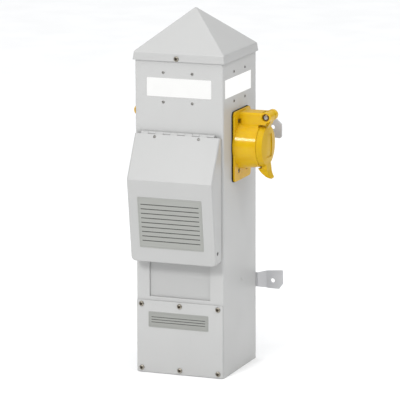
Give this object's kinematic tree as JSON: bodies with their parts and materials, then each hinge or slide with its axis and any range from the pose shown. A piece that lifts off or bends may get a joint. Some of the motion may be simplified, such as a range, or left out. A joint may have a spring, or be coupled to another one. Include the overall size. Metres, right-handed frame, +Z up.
{
  "type": "power pedestal",
  "caption": "Square sheet-metal power pedestal with lit windows, pyramid cap, hinged breaker hood, flip-lid receptacle covers and rear mounting brackets.",
  "frame": {"origin": "centre of the conduit entry, in the plane that the pedestal stands on", "axes": "+Z up; -Y is the front with the breaker hood; +X is the side of the tall receptacle cover; +Y is the back with the brackets"},
  "size_m": [0.2545, 0.213, 0.5965],
  "materials": {
    "post_paint": "satin white powder coat",
    "cap_paint": "satin white powder coat",
    "hood_paint": "satin white powder coat",
    "lens_white": "translucent white, lit from inside",
    "bracket_paint": "light grey powder coat",
    "bolt_zinc": "bright zinc plate",
    "galvanised": "galvanised sheet",
    "screw_zinc": "zinc plated",
    "hinge_paint": "satin white powder coat over the leaves",
    "hinge_steel": "plain stainless",
    "cover_yellow": "moulded, smooth gloss",
    "lid_yellow": "moulded, fine texture",
    "gasket_rubber": "matt black",
    "receptacle_black": "moulded black nylon",
    "breaker_black": "moulded black",
    "brass": "plain",
    "lug_aluminium": "plain",
    "socket_white": "glazed white",
    "lamp_glass": "frosted"
  },
  "bodies": {
    "pedestal": {"access_cover": "post_paint", "access_nuts": "screw_zinc", "access_screws": "screw_zinc", "base_plate": "galvanised", "bracket_bolts": "bolt_zinc", "bracket_nuts": "bolt_zinc", "breaker_case_left": "breaker_black", "breaker_case_right": "breaker_black", "breaker_rail": "galvanised", "cap": "cap_paint", "cap_screws": "screw_zinc", "chassis": "galvanised", "chassis_rivets": "post_paint", "dead_front": "hood_paint", "dead_front_screws": "screw_zinc", "front_lens": "lens_white", "ground_bar": "brass", "hinge_leaf_post": "hinge_paint", "hinge_pin": "hinge_steel", "hinge_rivets": "screw_zinc", "lamp_bulb": "lamp_glass", "lamp_socket": "socket_white", "left_contacts": "brass", "left_cover": "cover_yellow", "left_cover_screws": "screw_zinc", "left_gasket": "gasket_rubber", "left_lens": "lens_white", "left_lid_pin": "hinge_steel", "left_lid_spring": "hinge_steel", "left_receptacle": "receptacle_black", "lens_rivets": "screw_zinc", "light_shelf": "galvanised", "lock_tabs": "hood_paint", "lower_bracket": "bracket_paint", "neutral_bar": "brass", "neutral_feet": "breaker_black", "post_shell": "post_paint", "right_contacts": "brass", "right_cover": "cover_yellow", "right_cover_screws": "screw_zinc", "right_gasket": "gasket_rubber", "right_lens": "lens_white", "right_lid_pin": "hinge_steel", "right_lid_spring": "hinge_steel", "right_receptacle": "receptacle_black", "terminal_block": "breaker_black", "terminal_lugs": "lug_aluminium", "upper_bracket": "bracket_paint"},
    "hood": {"hood": "hood_paint", "hood_rivets": "screw_zinc", "hinge_leaf_hood": "hinge_paint"},
    "right_lid": {"right_lid": "lid_yellow", "right_lid_seal": "gasket_rubber"},
    "left_lid": {"left_lid": "lid_yellow", "left_lid_seal": "gasket_rubber"},
    "breaker_toggle_left": {"breaker_toggle_left": "breaker_black"},
    "breaker_toggle_right": {"breaker_toggle_right": "breaker_black"}
  },
  "joints": [
    {"name": "hood_hinge", "type": "hinge", "parent": "pedestal", "child": "hood", "pos_m": [0, -0.0796, 0.4], "axis": [-1, 0, 0], "range_deg": [0, 110]},
    {"name": "right_lid_hinge", "type": "hinge", "parent": "pedestal", "child": "right_lid", "pos_m": [0.1269, 0, 0.4248], "axis": [0, -1, 0], "range_deg": [0, 110], "stiffness_Nm_per_rad": 0.05, "springref_deg": -28.65},
    {"name": "left_lid_hinge", "type": "hinge", "parent": "pedestal", "child": "left_lid", "pos_m": [-0.0932, 0, 0.4248], "axis": [0, 1, 0], "range_deg": [0, 110], "stiffness_Nm_per_rad": 0.05, "springref_deg": -28.65},
    {"name": "left_toggle", "type": "hinge", "parent": "pedestal", "child": "breaker_toggle_left", "pos_m": [-0.0129, -0.0724, 0.27], "axis": [1, 0, 0], "range_deg": [0, 50]},
    {"name": "right_toggle", "type": "hinge", "parent": "pedestal", "child": "breaker_toggle_right", "pos_m": [0.0129, -0.0724, 0.27], "axis": [1, 0, 0], "range_deg": [0, 50]}
  ]
}
